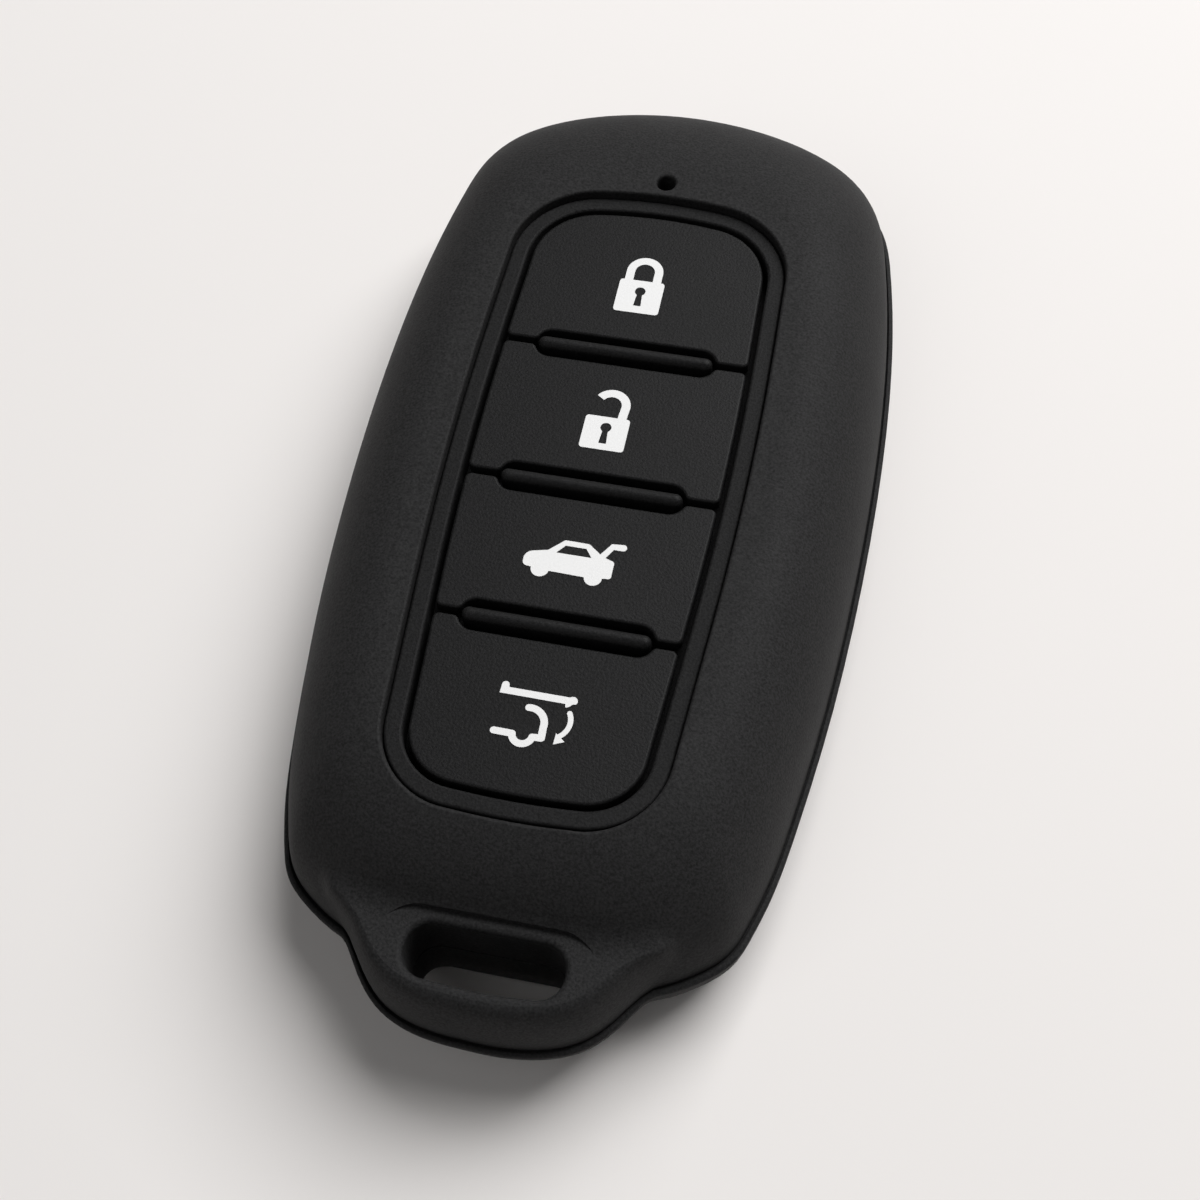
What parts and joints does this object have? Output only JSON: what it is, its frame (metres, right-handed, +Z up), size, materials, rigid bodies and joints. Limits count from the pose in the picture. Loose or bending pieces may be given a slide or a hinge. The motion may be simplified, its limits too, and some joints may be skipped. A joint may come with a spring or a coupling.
{
  "type": "key fob cover",
  "caption": "Soft-touch two-shell cover for a car key fob, with a sunk keypad of press keys marked by white pictograms, rounded finger ribs, an indicator sight hole and a lanyard slot.",
  "frame": {"origin": "on the face that the cover rests on, under the middle of its outer box", "axes": "+Z up out of the keypad, +Y along the cover towards the indicator end, +X to the right when the pictograms are read upright"},
  "size_m": [0.0474, 0.0948, 0.0178],
  "materials": {
    "shell": "soft-touch matte black with a fine grain",
    "frame": "soft-touch matte black",
    "key": "matte black silicone with a fine grain",
    "keypad": "plain black silicone",
    "icon": "satin white"
  },
  "bodies": {
    "back": {"back_shell": "shell"},
    "front": {"front_shell": "shell", "keypad_frame": "frame", "keypad_mat": "keypad", "upper_rib": "key", "middle_rib": "key", "lower_rib": "key", "lock_skirt": "keypad", "unlock_skirt": "keypad", "trunk_skirt": "keypad", "hatch_skirt": "keypad"},
    "lock_button": {"lock_key": "key", "lock_icon": "icon"},
    "unlock_button": {"unlock_key": "key", "unlock_icon": "icon"},
    "trunk_button": {"trunk_key": "key", "trunk_icon": "icon"},
    "hatch_button": {"hatch_key": "key", "hatch_icon": "icon"}
  },
  "joints": [
    {"name": "front_lift", "type": "slide", "parent": "back", "child": "front", "axis": [0, 0, 1], "range_m": [0, 0.03]},
    {"name": "lock_press", "type": "slide", "parent": "front", "child": "lock_button", "axis": [0, 0, -1], "range_m": [0, 0.0006], "stiffness_N_per_m": 2000, "deforming": ["lock_skirt"]},
    {"name": "unlock_press", "type": "slide", "parent": "front", "child": "unlock_button", "axis": [0, 0, -1], "range_m": [0, 0.0006], "stiffness_N_per_m": 2000, "deforming": ["unlock_skirt"]},
    {"name": "trunk_press", "type": "slide", "parent": "front", "child": "trunk_button", "axis": [0, 0, -1], "range_m": [0, 0.0006], "stiffness_N_per_m": 2000, "deforming": ["trunk_skirt"]},
    {"name": "hatch_press", "type": "slide", "parent": "front", "child": "hatch_button", "axis": [0, 0, -1], "range_m": [0, 0.0006], "stiffness_N_per_m": 2000, "deforming": ["hatch_skirt"]}
  ]
}
